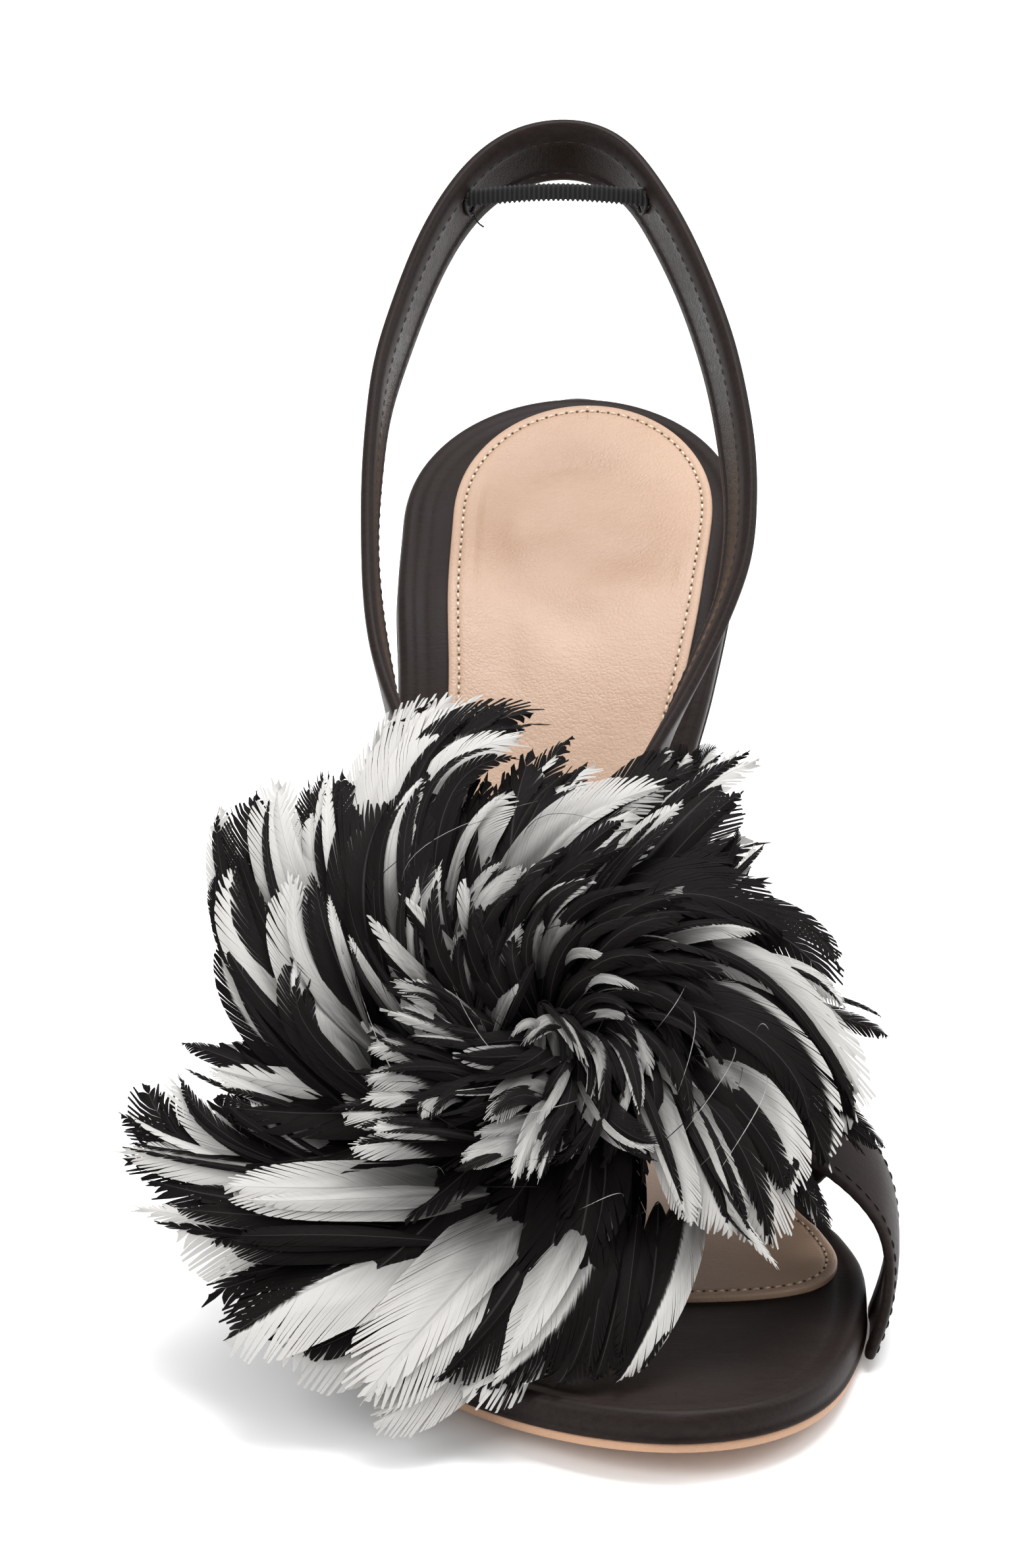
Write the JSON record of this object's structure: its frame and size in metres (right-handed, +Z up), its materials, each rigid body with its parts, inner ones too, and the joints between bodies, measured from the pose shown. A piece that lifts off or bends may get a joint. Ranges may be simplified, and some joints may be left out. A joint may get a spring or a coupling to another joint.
{
  "type": "slingback sandal",
  "caption": "High-heeled satin slingback sandal with crossed vamp straps, an open toe, a padded sling and a large swirled feather pompom.",
  "frame": {"origin": "on the floor at the centre of the forefoot's flat tread", "axes": "+Z up, -Y towards the toe, +X towards the big-toe side"},
  "size_m": [0.1199, 0.2127, 0.1405],
  "materials": {
    "outsole_leather": "smooth",
    "black_satin": "satin",
    "nude_leather": "soft grain",
    "heel_satin": "satin",
    "top_piece_plastic": "matte",
    "strap_satin": "satin",
    "elastic_black": "ribbed",
    "feather_black_white": "feathers"
  },
  "bodies": {
    "root": {"outsole": "outsole_leather", "platform": "black_satin", "sock_lining": "nude_leather", "heel": "heel_satin", "heel_top_piece": "top_piece_plastic", "upper_straps": "strap_satin", "elastic_tape": "elastic_black", "pompom": "feather_black_white"}
  },
  "joints": []
}
